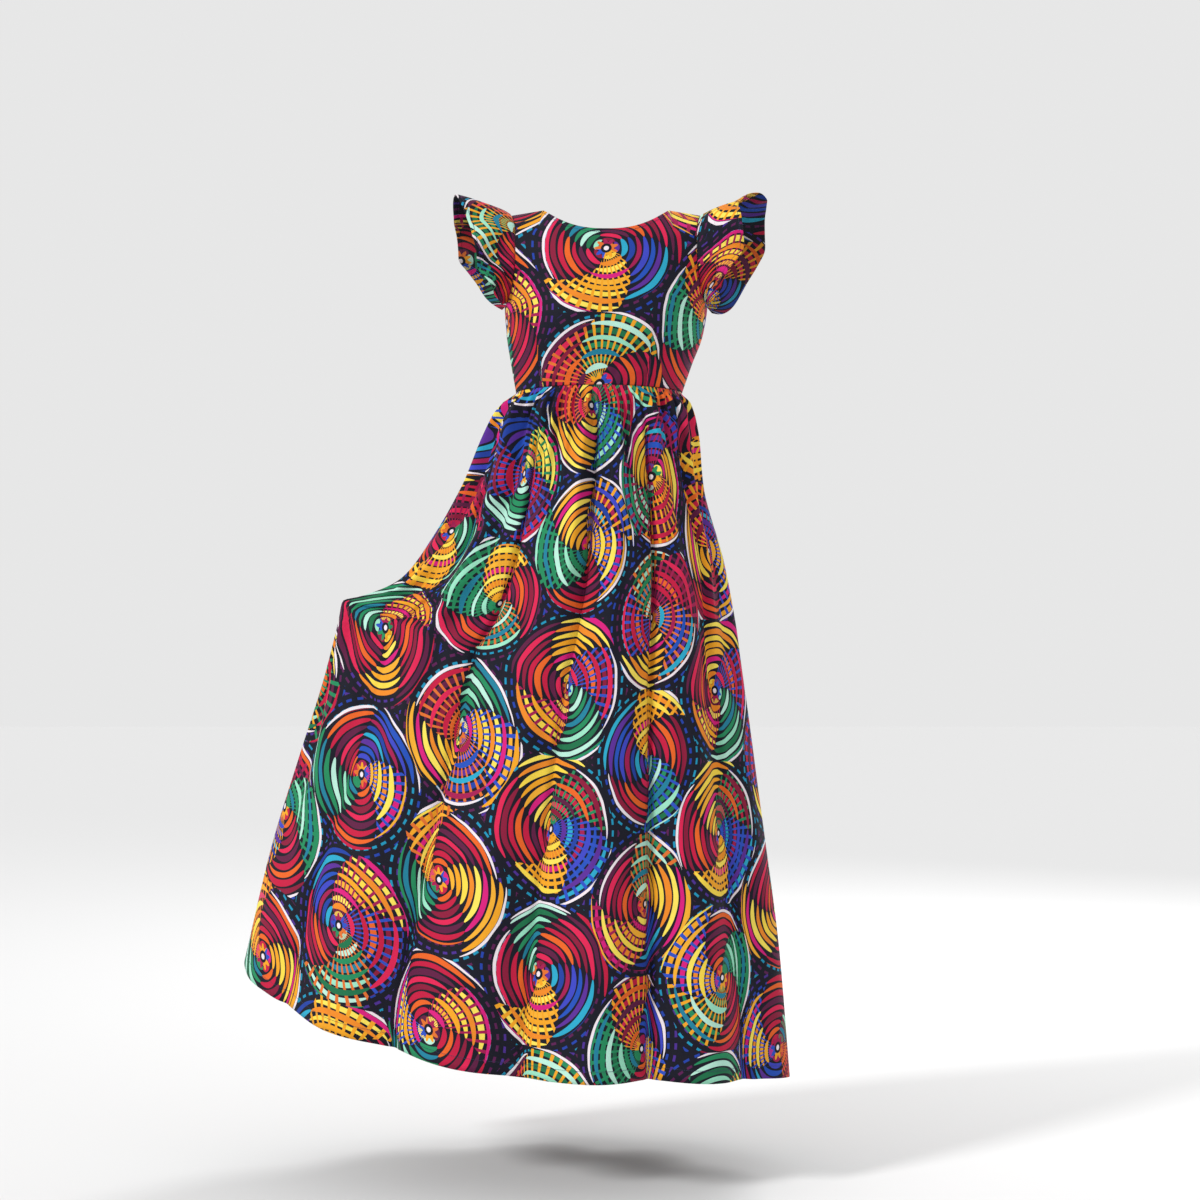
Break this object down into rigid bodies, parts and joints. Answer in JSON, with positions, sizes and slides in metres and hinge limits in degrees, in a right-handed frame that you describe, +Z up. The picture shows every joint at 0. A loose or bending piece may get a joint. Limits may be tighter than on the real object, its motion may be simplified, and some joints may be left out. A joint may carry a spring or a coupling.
{
  "type": "ankara wax print dress",
  "caption": "Hollow worn maxi dress in printed woven cotton: fitted bodice, flutter frills round the armholes, gathered skirt held out to one side, back zip.",
  "frame": {"origin": "where the wearer's shoulders carry the dress: midway between the two neck points, level with the shoulder seams there", "axes": "+Z up, -Y towards the front, +X towards the wearer's left"},
  "size_m": [0.8547, 0.556, 1.4566],
  "materials": {
    "wax_print_cotton": "smooth plain-weave cotton, low sheen, printed all over in bright colours on near-black navy",
    "zip_tape": "fine woven tape, dark navy",
    "zip_enamel": "dark navy enamelled metal, semi-gloss"
  },
  "bodies": {
    "dress": {"bodice_front": "wax_print_cotton", "bodice_back_left": "wax_print_cotton", "bodice_back_right": "wax_print_cotton", "skirt_front": "wax_print_cotton", "skirt_back_left": "wax_print_cotton", "skirt_back_right": "wax_print_cotton", "sleeve_frill_left": "wax_print_cotton", "sleeve_frill_right": "wax_print_cotton", "zip_tape_left": "zip_tape", "zip_tape_right": "zip_tape", "zip_slider": "zip_enamel"},
    "pull_tab": {"zip_pull_tab": "zip_enamel"}
  },
  "joints": [
    {"name": "pull_tab_hinge", "type": "hinge", "parent": "dress", "child": "pull_tab", "pos_m": [0, 0.09223, -0.03206], "axis": [1, 0, 0], "range_deg": [0, 150]}
  ]
}
